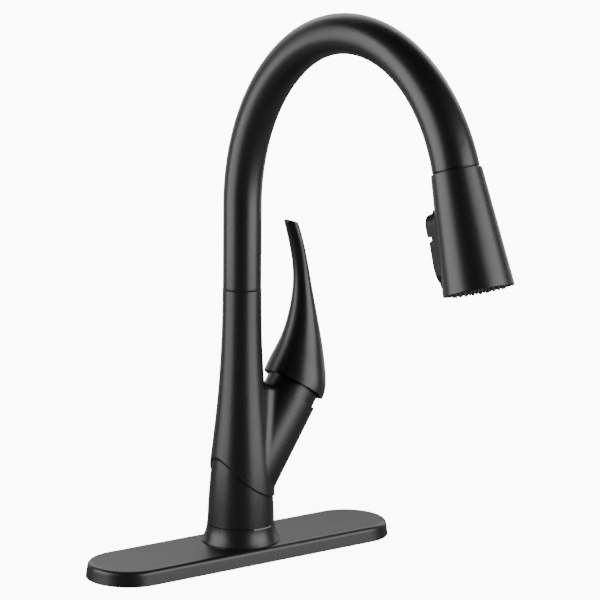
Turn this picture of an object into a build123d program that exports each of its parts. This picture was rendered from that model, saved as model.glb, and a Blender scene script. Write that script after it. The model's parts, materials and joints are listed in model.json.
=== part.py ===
from build123d import *
from math import atan2, cos, degrees, radians, sin, sqrt, tan
import os

# Pull-down kitchen faucet: deck plate, column body with a side valve arm, lever handle,
# turning gooseneck spout, and a spray wand that docks magnetically under the spout.
# Frame: +Z up, origin on the deck surface under the column, spout towards -Y, arm towards +X.

# ---------------------------------------------------------------- driving dimensions (mm)
plate_length = 263.0
plate_width = 64.0
plate_height = 11.0
plate_inset = 1.6           # how far the sloping side comes in at the top
plate_wall = 2.0
plate_skin = 2.4
plate_edge = 3.4
plate_boss = 26.0
rib_width = 2.0
rib_pitch = 30.0
rib_count = 8
gasket_thickness = 2.0
gasket_clearance = 0.4

ring_height = 13.5
ring_foot_radius = 29.1
ring_top_radius = 25.3
ring_waist_radius = 26.5
ring_foot_land = 0.9
seam_gap = 0.4

body_foot_radius = 24.9
body_waist_radius = 23.6
body_waist_height = 51.0
body_under_radius = 20.6
body_under_height = 80.0
body_top_radius = 14.4
body_top = 202.0
column_low = ((25.7, 34.0), (22.9, 72.0))       # radius and height of the lower outline
column_high = ((18.45, 90.0), (15.5, 50.0))     # radius and drop from the top
column_wall = 2.6
spigot_radius = 20.0
spigot_clearance = 0.2
hem_points = ((-24.5, 84.8), (-8.0, 56.5), (30.0, 45.5))     # x and height of the casting's lower edge
hem_round = 1.1

arm_tilt = 33.1             # degrees from vertical, towards +X
arm_root_height = 50.2
arm_radius = 22.1
pivot_distance = 87.4       # lever pivot along the arm, level with the skirt of the handle
arm_length = pivot_distance - 10.1
arm_bore = 18.6
arm_chamfer = 0.8
crotch_round = 9.0

shank_radius = 16.5
shank_bore = 14.0
shank_length = 60.0
rubber_radius = 30.0
rubber_thickness = 3.0
clamp_radius = 31.0
clamp_thickness = 2.5
washer_clearance = 0.5
lock_radius = 27.5
lock_height = 10.5
lock_gap = 0.5
lock_grips = 8
grip_radius = 3.0
screw_circle = 22.5
clamp_screw_radius = 2.5
clamp_screw_length = 22.0
clamp_screw_head = 4.4
clamp_screw_head_height = 4.0
clamp_screw_socket = 1.6
thread_clearance = 0.05
deck_thickness = 25.0
plate_hole_clearance = 1.0

tube_radius = 4.0
tube_bore = 3.0
tube_bend = 25.0
tube_fit = 0.05
supply_x = 3.6
supply_y = 9.0
outlet_x = 9.4
inlet_depth = 150.0         # how far the inlet ends hang under the deck
outlet_depth = 95.0
fitting_radius = 7.14       # 3/8 in compression thread
fitting_length = 12.0
fitting_hex = 15.0
fitting_hex_height = 7.0
tube_socket = 4.0

block_seat = pivot_distance - 47.9      # places along the arm are set back from the pivot
block_thickness = 6.4
block_radius = 18.4
housing_radius = 17.5
housing_shoulder = pivot_distance - 17.4
housing_neck_radius = 13.5
housing_neck_bore = 12.0
housing_cavity = 16.0
housing_floor = 10.0
housing_top = pivot_distance + 4.6
seal_thickness = 2.0
fixed_disc_thickness = 4.0
fixed_disc_radius = 15.5
moving_disc_thickness = 4.0
moving_disc_radius = 10.5
driver_radius = 6.0
driver_height = 10.0
port_radius = 3.0
supply_port = (-2.0, 9.0)
outlet_port = (7.5, 0.0)
carrier_radius = 11.9
carrier_bottom = pivot_distance - 9.9
slot_width = 6.6
slot_length = 15.0
pin_radius = 1.5
pin_clearance = 0.05
stem_neck_radius = 3.2
stem_tail_radius = 1.9
stem_ball_radius = 2.9
stem_ball_drop = 13.5
stem_head_radius = 4.0
pocket_radius = 3.25
nut_radius = 18.5
nut_hex = 30.0
nut_collar = 10.0
nut_height = 14.0

bonnet_radius = 20.2
bonnet_wall = 1.6
bonnet_foot = pivot_distance - 11.1
bonnet_opening = 14.5
rim_recess = 21.2
rim_recess_depth = 2.6

skirt_radius = 24.4
handle_cavity = 22.0
hub_radius = 7.5
hub_drop = 13.4
set_screw_radius = 2.5
set_screw_height = 20.6
lever_tip_round = 1.3

tube_outer = 14.2
tube_wall = 1.3
spout_straight_top = body_top + 61.3
spout_radii = (141.0, 121.6, 115.5)
spout_sweeps = (55.0, 55.0, 51.6)
outlet_radius = tube_outer + 2.0
flare_power = 1.5
flare_sections = 7
washer_thickness = 0.8
face_gap = 0.1
post_radius = 10.6
post_bore = post_radius - 2.2
post_seat = post_radius + 2.0
post_foot = body_top - 52.0
post_top = body_top + 38.0
hub_bore = post_radius + 0.7
hub_top = body_top + 33.9
glide_heights = (body_top + 6.0, body_top + 24.0)
glide_height = 5.0
groove_depth = 0.9
running_fit = 0.05
snap_ring_radius = post_radius + 1.4
snap_ring_gap = 3.0
snap_ring_height = 1.4

hose_radius = 6.2
hose_x = -7.0
hose_turn = body_top - 62.0
hose_lean = 55.0
hose_bend = 120.0
hose_depth = 108.0
collar_length = 16.0
collar_radius = 13.0
collar_bore = 8.6
magnet_inner = 9.2
magnet_outer = 12.4
magnet_thickness = 3.6

dock_gap = 1.1
dock_lip = dock_gap - 0.2     # the collar closes the gap over the wand
wand_length = 81.4
wand_top_radius = 17.4
wand_bottom_radius = 24.3
wand_wall = 1.8
wand_cap = 1.6
wand_edge = 0.6
ferrule_radius = 7.4
ferrule_clearance = 0.1
core_radius = 12.0
core_start = 6.5
core_chamber = 8.0
face_start = wand_length - 5.6
ferrule_end = 18.0
clip_start = 18.2
clip_end = 20.0
clip_radius = 8.6
stem_radius = 5.0
stem_neck = 4.4
stem_bore = 2.6
stem_end = 29.0
stem_seal = 24.2
stem_groove = 4.1
core_throat = 34.0

pad_turn = 25.0             # degrees that the button pad is turned from the column side
pad_top = 22.0
pad_bottom = 75.5
pad_half_width = 10.0
pad_proud = 2.0
pad_frame = 0.9
pad_floor = 13.0
pad_floor_thickness = 1.5
pad_clearance = 0.15
rocker_pivot = 41.3
notch_top = 39.8
notch_foot = 42.2
notch_depth = 2.8
rocker_pivot_depth = 17.6
rocker_base = 16.7
button_proud = 5.4
rocker_pin_radius = 1.0
plunger_radius = 2.0
plunger_hole = 2.1
plunger_height = 33.5       # below the wand's top, under the upper button
plunger_root = 3.0
nozzle_radius = 0.95
nozzle_proud = 1.3
nozzle_rings = ((9.8, 12), (13.4, 16), (17.2, 22))
aerator_radius = 7.3
aerator_clearance = 0.3
aerator_pitch = 1.25
aerator_hole = 0.75

# ---------------------------------------------------------------- derived places
arm_axis = Plane(
    origin=(0, 0, arm_root_height),
    x_dir=(cos(radians(arm_tilt)), 0, -sin(radians(arm_tilt))),
    z_dir=(sin(radians(arm_tilt)), 0, cos(radians(arm_tilt))),
)
pivot = arm_axis.origin + arm_axis.z_dir * pivot_distance
housing_foot = block_seat + block_thickness + face_gap
seal_foot = housing_foot + housing_floor
fixed_disc_foot = seal_foot + seal_thickness
moving_disc_foot = fixed_disc_foot + fixed_disc_thickness + 0.02
driver_foot = moving_disc_foot + moving_disc_thickness
ring_top = plate_height + ring_height
body_foot = ring_top + seam_gap
spout_foot = body_top + washer_thickness + face_gap


def spout_point(angle):
    """Centre of the gooseneck where its tube has turned by angle degrees from vertical."""
    y = 0.0
    z = spout_straight_top
    start = 0.0
    for radius, sweep_angle in zip(spout_radii, spout_sweeps):
        end = min(angle, start + sweep_angle)
        y -= radius * (cos(radians(start)) - cos(radians(end)))
        z += radius * (sin(radians(end)) - sin(radians(start)))
        start = end
    return Vector(0, y, z)


def spout_plane(angle):
    """Section plane of the gooseneck, facing along the flow."""
    flow = (0, -sin(radians(angle)), cos(radians(angle)))
    return Plane(origin=spout_point(angle), x_dir=(1, 0, 0), z_dir=flow)


spout_turn = sum(spout_sweeps)
flare_start = spout_turn - spout_sweeps[-1]
outlet = spout_plane(spout_turn)
wand = outlet.offset(dock_gap)


def wand_radius(distance):
    """Outside radius of the conical wand at a distance below its top."""
    return wand_top_radius + (wand_bottom_radius - wand_top_radius) * distance / wand_length


pad_out = wand.x_dir * -sin(radians(pad_turn)) - wand.y_dir * cos(radians(pad_turn))
pad_face = Plane(origin=wand.origin, x_dir=wand.z_dir, z_dir=pad_out)
pad_side = Plane(origin=wand.origin, x_dir=pad_out, z_dir=pad_out.cross(wand.z_dir))
pad_middle = (pad_top + pad_bottom) / 2
pad_length = pad_bottom - pad_top


# ---------------------------------------------------------------- shared makers
def turned(frame, *outline):
    """A turned piece: (radius, height) corners, revolved about the frame's normal."""
    section = Plane(origin=frame.origin, x_dir=frame.x_dir, z_dir=-frame.y_dir)
    with BuildPart() as piece:
        with BuildSketch(section):
            with BuildLine():
                Polyline(*outline, close=True)
            make_face()
        revolve(axis=Axis(frame.origin, frame.z_dir))
    return piece


def ring(frame, inner, outer, low, high):
    """A plain ring about the frame's normal, or a disc where inner is 0."""
    return turned(frame, (inner, low), (outer, low), (outer, high), (inner, high))


def o_ring(frame, inner, outer, height):
    """A round-section seal that fills the space between two radii."""
    section = Plane(origin=frame.origin, x_dir=frame.x_dir, z_dir=-frame.y_dir)
    with BuildPart() as piece:
        with BuildSketch(section):
            with Locations(((inner + outer) / 2, height)):
                Circle((outer - inner) / 2)
        revolve(axis=Axis(frame.origin, frame.z_dir))
    return piece


def on_arm(across, side, along):
    """A point in the arm's own directions: down-outwards, towards +Y, and up the arm."""
    return (arm_axis.origin + arm_axis.x_dir * across
            + arm_axis.y_dir * side + arm_axis.z_dir * along)


def bent_tube(x, y, port, depth):
    """A copper tube that rises through the shank and bends into its port on the arm."""
    across = port[0]
    top = on_arm(across, y, block_seat + tube_socket)
    run = (x - across * cos(radians(arm_tilt))) / sin(radians(arm_tilt))
    corner = on_arm(across, y, run)
    with BuildPart() as piece:
        with BuildLine() as route:
            FilletPolyline((x, y, -depth), (x, y, corner.Z), top, radius=tube_bend)
        with BuildSketch(Plane((x, y, -depth))):
            Circle(tube_radius)
            Circle(tube_bore, mode=Mode.SUBTRACT)
        sweep(path=route.line)
    return piece


def three_ports(radius):
    """Sketches the hot, cold and outlet ports of the valve inside the open sketch."""
    for x, y in (supply_port, (supply_port[0], -supply_port[1]), outlet_port):
        with Locations((x, y)):
            Circle(radius, mode=Mode.SUBTRACT)


pieces = {}

# ---------------------------------------------------------------- deck plate and base
pocket_length = plate_length - 2 * (plate_inset + plate_wall)
pocket_width = plate_width - 2 * (plate_inset + plate_wall)
plate_hole = shank_radius + plate_hole_clearance

with BuildPart() as deck_plate:
    with BuildSketch():
        SlotOverall(plate_length, plate_width)
    with BuildSketch(Plane.XY.offset(plate_height)):
        SlotOverall(plate_length - 2 * plate_inset, plate_width - 2 * plate_inset)
    loft()
    fillet(deck_plate.edges().group_by(Axis.Z)[-1], plate_edge)
    with BuildSketch():
        SlotOverall(pocket_length, pocket_width)
    extrude(amount=gasket_thickness, mode=Mode.SUBTRACT)
    with BuildSketch(Plane.XY.offset(gasket_thickness)):
        SlotOverall(pocket_length, pocket_width)
        with GridLocations(rib_pitch, 1, rib_count, 1):
            Rectangle(rib_width, plate_width, mode=Mode.SUBTRACT)
        Circle(plate_boss, mode=Mode.SUBTRACT)
    extrude(amount=plate_height - plate_skin - gasket_thickness, mode=Mode.SUBTRACT)
    with BuildSketch():
        Circle(plate_hole)
    extrude(amount=plate_height, mode=Mode.SUBTRACT)
pieces["deck_plate"] = deck_plate

with BuildPart() as deck_gasket:
    with BuildSketch():
        SlotOverall(pocket_length - 2 * gasket_clearance, pocket_width - 2 * gasket_clearance)
        Circle(plate_hole + gasket_clearance, mode=Mode.SUBTRACT)
    extrude(amount=gasket_thickness)
pieces["deck_gasket"] = deck_gasket

lens_sweep = 41.0
lens_middle = -82.5
lens_depth = 0.6
board_inner = 21.2
board_outer = 23.4
board_height = 5.0
ring_bore = spigot_radius + spigot_clearance


def seam_sector(inner, outer, low, high, sweep_angle):
    """A sector of a ring round the column, under the body's front seam."""
    with BuildPart() as piece:
        with BuildSketch(Plane.XY.offset(low)):
            with BuildLine():
                first = PolarLine((0, 0), outer, lens_middle - sweep_angle / 2)
                last = PolarLine((0, 0), outer, lens_middle + sweep_angle / 2)
                RadiusArc(first @ 1, last @ 1, -outer)
            make_face()
            Circle(inner, mode=Mode.SUBTRACT)
        extrude(amount=high - low)
    return piece


lens_cut = seam_sector(board_inner, ring_foot_radius, ring_top - lens_depth, body_foot, lens_sweep)
board_cut = seam_sector(
    board_inner, board_outer, ring_top - lens_depth - board_height, ring_top, lens_sweep)

with BuildPart() as base_ring:
    with BuildSketch(Plane.XZ):
        with BuildLine():
            foot = Polyline((ring_bore, plate_height), (ring_foot_radius, plate_height),
                            (ring_foot_radius, plate_height + ring_foot_land))
            flare = ThreePointArc(foot @ 1, (ring_waist_radius, plate_height + ring_height * 0.48),
                                  (ring_top_radius, ring_top))
            Polyline(flare @ 1, (ring_bore, ring_top), (ring_bore, plate_height))
        make_face()
    revolve(axis=Axis.Z)
    add(lens_cut.part, mode=Mode.SUBTRACT)
    add(board_cut.part, mode=Mode.SUBTRACT)
pieces["base_ring"] = base_ring

lens_reveal = 0.1
pieces["status_light_lens"] = seam_sector(
    board_outer + lens_reveal, ring_top_radius - lens_reveal,
    ring_top - lens_depth, body_foot - lens_reveal, lens_sweep - 0.4)
pieces["status_light_board"] = seam_sector(
    board_inner + lens_reveal, board_outer - lens_reveal,
    ring_top - lens_depth - board_height + lens_reveal, ring_top - lens_depth, lens_sweep - 1.0)

groove_height = plate_height + 6.0
pieces["base_o_ring"] = o_ring(Plane.XY, spigot_radius - 2.0, ring_bore - running_fit, groove_height)

# ---------------------------------------------------------------- column body
spigot_foot = plate_height + 0.3
spigot_bore = shank_radius + thread_clearance

with BuildPart() as upper_casting:
    with BuildSketch(Plane.XZ):
        with BuildLine():
            upper = [(radius, body_top - drop) for radius, drop in column_high]
            edge = Spline(*column_low, *upper, (body_top_radius, body_top),
                          tangents=((-0.02, 1), (0, 1)))
            Polyline(edge @ 1, (0, body_top), (0, (edge @ 0).Y), edge @ 0)
        make_face()
    revolve(axis=Axis.Z)
    with BuildSketch(arm_axis.offset(-12)):
        Circle(arm_radius)
    extrude(amount=arm_length + 12)

    seams = upper_casting.edges().filter_by(GeomType.BSPLINE)
    fillet(seams.filter_by(lambda seam: abs(seam.center().Y) > arm_radius / 2), crotch_round)
    rim = upper_casting.edges().filter_by(GeomType.CIRCLE).sort_by(Axis(arm_axis.origin, arm_axis.z_dir))
    chamfer(rim[-1], arm_chamfer)
    with BuildSketch(Plane.XZ):
        with BuildLine():
            hem = ThreePointArc(*hem_points)
            Polyline(hem @ 1, (40.0, 0), (-30.0, 0), (-30.0, (hem @ 0).Y), hem @ 0)
        make_face()
    extrude(amount=2 * arm_radius, both=True, mode=Mode.SUBTRACT)
    fillet(upper_casting.faces().sort_by(Axis.Z)[0].edges(), hem_round)

with BuildPart() as column_body:
    with BuildSketch(Plane.XZ):
        with BuildLine():
            side = ThreePointArc((body_foot_radius, body_foot), (body_waist_radius, body_waist_height),
                                 (body_under_radius, body_under_height))
            Polyline(side @ 1, (0, body_under_height), (0, spigot_foot),
                     (spigot_radius, spigot_foot), (spigot_radius, body_foot), side @ 0)
        make_face()
    revolve(axis=Axis.Z)
    add(upper_casting.part)
    # inside of the column, from the shank's thread to the seat of the spout post
    with BuildSketch(Plane.XZ):
        with BuildLine():
            Polyline((0, spigot_foot), (spigot_bore, spigot_foot), (spigot_bore, body_foot + 3),
                     (body_foot_radius - 4.2, body_foot + 5), (19.6, 60.0),
                     (body_under_radius - column_wall, body_under_height),
                     (column_high[0][0] - 3.05, body_top - 98.0), (post_seat, body_top - 72.0),
                     (post_seat, body_top), (0, body_top), close=True)
        make_face()
    revolve(axis=Axis.Z, mode=Mode.SUBTRACT)
    # inside of the arm: a clear way for the tubes, the valve bore and the recess at the rim
    for radius, low in ((arm_bore - 1.2, 0), (arm_bore, block_seat),
                        (rim_recess, arm_length - rim_recess_depth)):
        with BuildSketch(arm_axis.offset(low)):
            Circle(radius)
        extrude(amount=arm_length - low, mode=Mode.SUBTRACT)
    # groove for the seal on the spigot
    with BuildSketch(Plane.XY.offset(groove_height - 1.2)):
        Circle(spigot_radius + 1)
        Circle(spigot_radius - 2.05, mode=Mode.SUBTRACT)
    extrude(amount=2.4, mode=Mode.SUBTRACT)
pieces["column_body"] = column_body

# ---------------------------------------------------------------- mounting set under the deck
shank_top = body_foot + 2.5
pieces["mounting_shank"] = ring(Plane.XY, shank_bore, shank_radius, -shank_length, shank_top)
washer_top = -deck_thickness
washer_hole = shank_radius + washer_clearance
clamp_top = washer_top - rubber_thickness
nut_top = clamp_top - clamp_thickness
pieces["rubber_washer"] = ring(Plane.XY, washer_hole, rubber_radius, clamp_top, washer_top)
pieces["clamp_washer"] = ring(Plane.XY, washer_hole, clamp_radius, nut_top, clamp_top)

with BuildPart() as mounting_nut:
    with BuildSketch(Plane.XY.offset(nut_top - lock_gap - lock_height)):
        Circle(lock_radius)
        Circle(shank_radius + thread_clearance, mode=Mode.SUBTRACT)
        with PolarLocations(lock_radius, lock_grips):
            Circle(grip_radius, mode=Mode.SUBTRACT)
        with Locations((screw_circle, 0), (-screw_circle, 0)):
            Circle(clamp_screw_radius + thread_clearance, mode=Mode.SUBTRACT)
    extrude(amount=lock_height)
pieces["mounting_nut"] = mounting_nut

with BuildPart() as clamp_screws:
    with BuildSketch(Plane.XY.offset(nut_top)):
        with Locations((screw_circle, 0), (-screw_circle, 0)):
            Circle(clamp_screw_radius)
    extrude(amount=-clamp_screw_length)
    with BuildSketch(Plane.XY.offset(nut_top - clamp_screw_length)):
        with Locations((screw_circle, 0), (-screw_circle, 0)):
            RegularPolygon(clamp_screw_head, 6)
            Circle(clamp_screw_socket, mode=Mode.SUBTRACT)
    extrude(amount=-clamp_screw_head_height)
pieces["clamp_screws"] = clamp_screws

# ---------------------------------------------------------------- water supply
supply_end = inlet_depth - fitting_length
pieces["hot_inlet_tube"] = bent_tube(supply_x, -supply_y, supply_port, supply_end)
pieces["cold_inlet_tube"] = bent_tube(supply_x, supply_y, supply_port, supply_end)
pieces["outlet_tube"] = bent_tube(outlet_x, 0, outlet_port, outlet_depth)

# brass ends of the inlet tubes: a hexagon, and a thread for the supply stop
with BuildPart() as inlet_fittings:
    for side in (-supply_y, supply_y):
        end = Plane((supply_x, side, -inlet_depth))
        with BuildSketch(end):
            Circle(fitting_radius)
            Circle(tube_bore, mode=Mode.SUBTRACT)
        extrude(amount=fitting_length)
        with BuildSketch(end.offset(fitting_length)):
            RegularPolygon(fitting_hex / 2, 6, major_radius=False)
            Circle(tube_radius + tube_fit, mode=Mode.SUBTRACT)
        extrude(amount=fitting_hex_height)
pieces["inlet_fittings"] = inlet_fittings

outlet_end = Plane((outlet_x, 0, -outlet_depth))
pieces["outlet_spigot"] = turned(
    outlet_end, (tube_radius + tube_fit, 12.0), (tube_radius + tube_fit, 0.0), (tube_bore, 0.0),
    (tube_bore, -14.0), (4.6, -14.0), (4.6, -6.0), (3.9, -6.0), (3.9, -3.5), (5.4, -3.5),
    (5.4, 12.0))

with BuildPart() as waterway_block:
    with BuildSketch(arm_axis.offset(block_seat + face_gap)):
        Circle(block_radius)
        three_ports(port_radius)
    extrude(amount=block_thickness - face_gap)
    with BuildSketch(arm_axis.offset(block_seat + face_gap)):
        for x, y in (supply_port, (supply_port[0], -supply_port[1]), outlet_port):
            with Locations((x, y)):
                Circle(tube_radius + tube_fit)
    extrude(amount=tube_socket, mode=Mode.SUBTRACT)
pieces["waterway_block"] = waterway_block

# ---------------------------------------------------------------- valve cartridge
with BuildPart() as cartridge_housing:
    with BuildSketch(arm_axis.offset(housing_foot)):
        Circle(housing_radius)
    extrude(amount=housing_shoulder - housing_foot)
    with BuildSketch(arm_axis.offset(housing_shoulder)):
        Circle(housing_neck_radius)
    extrude(amount=housing_top - housing_shoulder)
    with BuildSketch(arm_axis.offset(seal_foot)):
        Circle(housing_cavity)
    extrude(amount=housing_shoulder - 2.0 - seal_foot, mode=Mode.SUBTRACT)
    with BuildSketch(arm_axis.offset(housing_shoulder - 2.0)):
        Circle(housing_neck_bore)
    extrude(amount=housing_top - housing_shoulder + 2.0, mode=Mode.SUBTRACT)
    with BuildSketch(arm_axis.offset(housing_foot)):
        for x, y in (supply_port, (supply_port[0], -supply_port[1]), outlet_port):
            with Locations((x, y)):
                Circle(port_radius)
    extrude(amount=housing_floor, mode=Mode.SUBTRACT)
pieces["cartridge_housing"] = cartridge_housing


def ported_disc(radius, port, low, thickness):
    """A round disc on the arm's axis with the three ports through it."""
    with BuildPart() as piece:
        with BuildSketch(arm_axis.offset(low)):
            Circle(radius)
            three_ports(port)
        extrude(amount=thickness)
    return piece


pieces["port_seal"] = ported_disc(fixed_disc_radius, port_radius + 0.4, seal_foot, seal_thickness)
pieces["fixed_disc"] = ported_disc(
    fixed_disc_radius, port_radius - 0.2, fixed_disc_foot, fixed_disc_thickness)

with BuildPart() as moving_disc:
    with BuildSketch(arm_axis.offset(moving_disc_foot)):
        Circle(moving_disc_radius)
    extrude(amount=moving_disc_thickness)
    with BuildSketch(arm_axis.offset(moving_disc_foot)):
        SlotOverall(2 * moving_disc_radius - 5, 9.0)
    extrude(amount=moving_disc_thickness / 2, mode=Mode.SUBTRACT)
pieces["moving_disc"] = moving_disc

ball_height = pivot_distance - stem_ball_drop
driver_top = driver_foot + driver_height
pieces["disc_driver"] = turned(
    arm_axis, (0, driver_foot), (driver_radius, driver_foot), (driver_radius, driver_top),
    (pocket_radius, driver_top), (pocket_radius, ball_height - stem_ball_radius - 0.5),
    (0, ball_height - stem_ball_radius - 0.5))

with BuildPart() as stem_carrier:
    with BuildSketch(arm_axis.offset(carrier_bottom)):
        Circle(carrier_radius)
        Rectangle(slot_length, slot_width, mode=Mode.SUBTRACT)
    extrude(amount=housing_top - carrier_bottom)
    with BuildSketch(Plane(origin=pivot, x_dir=arm_axis.x_dir, z_dir=arm_axis.y_dir)):
        Circle(pin_radius)
    extrude(amount=carrier_radius, both=True, mode=Mode.SUBTRACT)
pieces["stem_carrier"] = stem_carrier

with BuildPart() as stem_pin:
    with BuildSketch(Plane(origin=pivot, x_dir=arm_axis.x_dir, z_dir=arm_axis.y_dir)):
        Circle(pin_radius)
    extrude(amount=carrier_radius - 1.0, both=True)
pieces["stem_pin"] = stem_pin

stem_head_foot = pivot_distance + 7.1
stem_head_top = pivot_distance + 23.0
with BuildPart() as valve_stem:
    with Locations(arm_axis.offset(ball_height)):
        Sphere(stem_ball_radius)
    for radius, low, high in ((stem_tail_radius, ball_height, pivot_distance - 4.0),
                              (stem_neck_radius, pivot_distance - 4.0, stem_head_foot),
                              (stem_head_radius, stem_head_foot, stem_head_top)):
        with BuildSketch(arm_axis.offset(low)):
            Circle(radius)
        extrude(amount=high - low)
    with BuildSketch(Plane(origin=pivot, x_dir=arm_axis.x_dir, z_dir=arm_axis.y_dir)):
        Circle(pin_radius + pin_clearance)
    extrude(amount=stem_head_radius, both=True, mode=Mode.SUBTRACT)
pieces["valve_stem"] = valve_stem

nut_foot = housing_shoulder + face_gap
with BuildPart() as cartridge_nut:
    with BuildSketch(arm_axis.offset(nut_foot)):
        Circle(nut_radius)
    extrude(amount=nut_collar)
    with BuildSketch(arm_axis.offset(nut_foot + nut_collar)):
        RegularPolygon(nut_hex / 2, 6, major_radius=False)
    extrude(amount=nut_height - nut_collar)
    with BuildSketch(arm_axis.offset(nut_foot)):
        Circle(housing_neck_radius + spigot_clearance)
    extrude(amount=nut_height, mode=Mode.SUBTRACT)
pieces["cartridge_nut"] = cartridge_nut

bonnet_inner = bonnet_radius - bonnet_wall
bonnet_low = bonnet_foot - pivot_distance
with BuildPart() as bonnet:
    with BuildSketch(Plane(origin=pivot, x_dir=arm_axis.x_dir, z_dir=-arm_axis.y_dir)):
        with BuildLine():
            outside = CenterArc((0, 0), bonnet_radius, 0,
                                degrees(atan2(sqrt(bonnet_radius ** 2 - bonnet_opening ** 2),
                                              bonnet_opening)))
            inside = CenterArc((0, 0), bonnet_inner, 0,
                               degrees(atan2(sqrt(bonnet_inner ** 2 - bonnet_opening ** 2),
                                             bonnet_opening)))
            Line(outside @ 1, inside @ 1)
            Polyline(inside @ 0, (bonnet_inner, bonnet_low), (bonnet_radius, bonnet_low),
                     outside @ 0)
        make_face()
    revolve(axis=Axis(pivot, arm_axis.z_dir))
pieces["bonnet"] = bonnet

# ---------------------------------------------------------------- lever handle
# stations of the lever: x and z from the pivot, lean of the section, half widths across and along Y
lever_stations = (
    (0, 0, arm_tilt, skirt_radius, skirt_radius),
    (3.471, 8.783, 28.0, 23.3, 23.3),
    (6.471, 25.183, 18.0, 18.3, 18.2),
    (7.671, 37.583, 9.0, 14.5, 14.5),
    (8.171, 57.183, -2.0, 9.7, 10.4),
    (7.271, 77.683, -7.0, 6.5, 7.4),
    (4.171, 97.883, -12.0, 5.0, 6.8),
    (-0.929, 116.583, -17.0, 4.4, 6.6),
    (-3.729, 124.583, 18.0, 5.2, 6.4),
)


def lever_plane(x, z, lean):
    """Section plane of the lever, its normal leaning from vertical towards +X."""
    return Plane(origin=pivot + Vector(x, 0, z), x_dir=(cos(radians(lean)), 0, -sin(radians(lean))),
                 z_dir=(sin(radians(lean)), 0, cos(radians(lean))))


screw_plane = Plane(origin=on_arm(0, 0, pivot_distance + set_screw_height),
                    x_dir=arm_axis.x_dir, z_dir=arm_axis.y_dir)
with BuildPart() as handle:
    for x, z, lean, half_x, half_y in lever_stations:
        with BuildSketch(lever_plane(x, z, lean)):
            Ellipse(half_x, half_y)
    loft()
    fillet(handle.edges().group_by(Axis.Z)[-1], lever_tip_round)
    with Locations(Plane(pivot)):
        Sphere(handle_cavity, mode=Mode.SUBTRACT)
    with BuildSketch(arm_axis.offset(pivot_distance + handle_cavity - hub_drop)):
        Circle(hub_radius)
    extrude(amount=hub_drop + 1.0)
    with BuildSketch(arm_axis.offset(pivot_distance)):
        Circle(stem_head_radius + tube_fit)
    extrude(amount=stem_head_top - pivot_distance + 0.3, mode=Mode.SUBTRACT)
    with BuildSketch(screw_plane):
        Circle(set_screw_radius + tube_fit)
    extrude(amount=skirt_radius, mode=Mode.SUBTRACT)
pieces["handle"] = handle

with BuildPart() as handle_set_screw:
    with BuildSketch(screw_plane.offset(stem_head_radius + tube_fit)):
        Circle(set_screw_radius)
    extrude(amount=8.0)
    with BuildSketch(screw_plane.offset(stem_head_radius + tube_fit + 4.0)):
        RegularPolygon(1.4, 6)
    extrude(amount=4.0, mode=Mode.SUBTRACT)
pieces["handle_set_screw"] = handle_set_screw

with BuildPart() as handle_plug:
    with BuildSketch(screw_plane.offset(13.5)):
        Circle(set_screw_radius)
    extrude(amount=3.0)
pieces["handle_plug"] = handle_plug

# ---------------------------------------------------------------- spout post and bearings
hub_outer = tube_outer - tube_wall - tube_fit
post_outline = [(post_bore, post_foot), (post_seat - tube_fit, post_foot),
                (post_seat - tube_fit, body_top - 0.5), (post_radius, body_top - 0.5)]
for height, depth in ((glide_heights[0], glide_height), (glide_heights[1], glide_height),
                      (hub_top + 0.3, snap_ring_height + 0.2)):
    post_outline += [(post_radius, height), (post_radius - groove_depth, height),
                     (post_radius - groove_depth, height + depth), (post_radius, height + depth)]
post_outline += [(post_radius, post_top), (post_bore, post_top)]
pieces["swivel_post"] = turned(Plane.XY, *post_outline)

with BuildPart() as glide_rings:
    for height in glide_heights:
        with BuildSketch(Plane.XY.offset(height + running_fit)):
            Circle(hub_bore - running_fit)
            Circle(post_radius - groove_depth + running_fit, mode=Mode.SUBTRACT)
        extrude(amount=glide_height - 2 * running_fit)
pieces["glide_rings"] = glide_rings

with BuildPart() as snap_ring:
    with BuildSketch(Plane.XY.offset(hub_top + 0.4)):
        Circle(snap_ring_radius)
        Circle(post_radius - groove_depth + running_fit, mode=Mode.SUBTRACT)
        with Locations((snap_ring_radius, 0)):
            Rectangle(snap_ring_radius, snap_ring_gap, mode=Mode.SUBTRACT)
    extrude(amount=snap_ring_height)
pieces["snap_ring"] = snap_ring

pieces["swivel_washer"] = ring(
    Plane.XY, post_radius + 0.4, body_top_radius - 0.25, body_top, body_top + washer_thickness)
pieces["spout_hub"] = ring(Plane.XY, hub_bore, hub_outer, spout_foot, hub_top)


# ---------------------------------------------------------------- gooseneck spout
def gooseneck(radius, end_radius):
    """A solid bar along the gooseneck, flaring over its last arc."""
    with BuildPart() as bar:
        with BuildLine() as route:
            straight = Line((0, 0, spout_foot), (0, 0, spout_straight_top))
            bend = straight
            angle = 0.0
            for sweep_angle in spout_sweeps[:-1]:
                middle = spout_point(angle + sweep_angle / 2)
                angle += sweep_angle
                bend = ThreePointArc(bend @ 1, middle, spout_point(angle))
        with BuildSketch(Plane.XY.offset(spout_foot)):
            Circle(radius)
        sweep(path=route.line)
        for step in range(flare_sections):
            share = step / (flare_sections - 1)
            with BuildSketch(spout_plane(flare_start + share * (spout_turn - flare_start))):
                Circle(radius + (end_radius - radius) * share ** flare_power)
        loft()
    return bar


spout_bore = gooseneck(tube_outer - tube_wall, outlet_radius - tube_wall)
with BuildPart() as spout_tube:
    add(gooseneck(tube_outer, outlet_radius).part)
    add(spout_bore.part, mode=Mode.SUBTRACT)
pieces["spout_tube"] = spout_tube

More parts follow.
